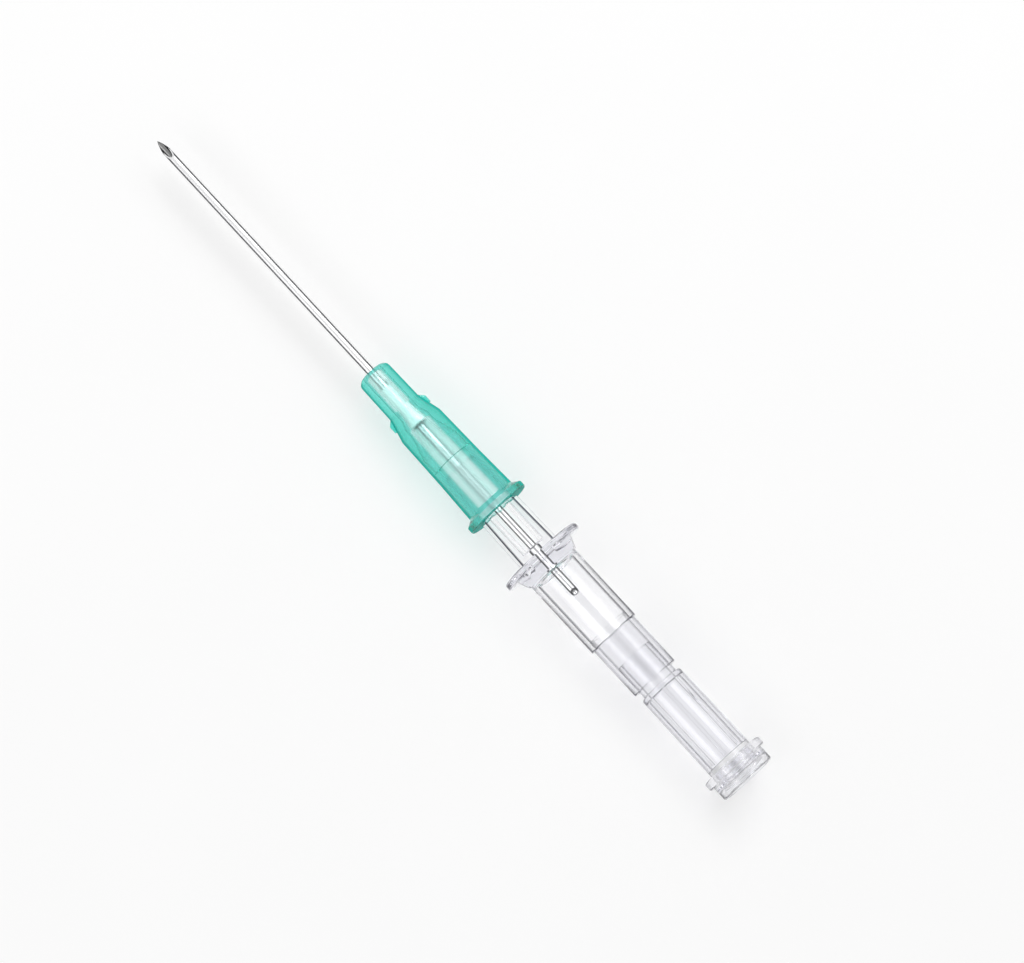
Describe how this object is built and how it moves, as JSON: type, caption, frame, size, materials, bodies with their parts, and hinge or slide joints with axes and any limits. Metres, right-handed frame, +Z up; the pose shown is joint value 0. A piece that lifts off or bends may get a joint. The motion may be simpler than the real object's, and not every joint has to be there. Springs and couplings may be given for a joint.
{
  "type": "iv cannula",
  "caption": "Over-the-needle IV cannula: bevelled steel needle in a clear catheter tube, green luer hub, oval push-off plate, flash chamber and vented rear plug.",
  "frame": {"origin": "under the middle of the bounding box, on the surface the cannula lies on", "axes": "+X along the needle's axis towards the vent plug, +Y across along the push-off plate, +Z up, the way the bevel faces"},
  "size_m": [0.0962, 0.0102, 0.0078],
  "materials": {
    "needle_steel": "drawn and ground stainless steel",
    "eyelet_metal": "pressed steel",
    "tube_clear": "clear fluoropolymer",
    "hub_green": "translucent green moulding",
    "clear_plastic": "clear moulding",
    "filter_white": "porous white disc"
  },
  "bodies": {
    "needle_unit": {"needle": "needle_steel", "needle_hub": "clear_plastic", "flash_chamber": "clear_plastic"},
    "catheter": {"catheter_hub": "hub_green", "catheter_tube": "tube_clear", "ferrule": "eyelet_metal"},
    "plug": {"vent_plug": "clear_plastic", "vent_filter": "filter_white", "end_cap": "clear_plastic"}
  },
  "joints": [
    {"name": "catheter_slide", "type": "slide", "parent": "needle_unit", "child": "catheter", "axis": [-1, 0, 0], "range_m": [0, 0.06]},
    {"name": "plug_slide", "type": "slide", "parent": "needle_unit", "child": "plug", "axis": [1, 0, 0], "range_m": [0, 0.008]}
  ]
}
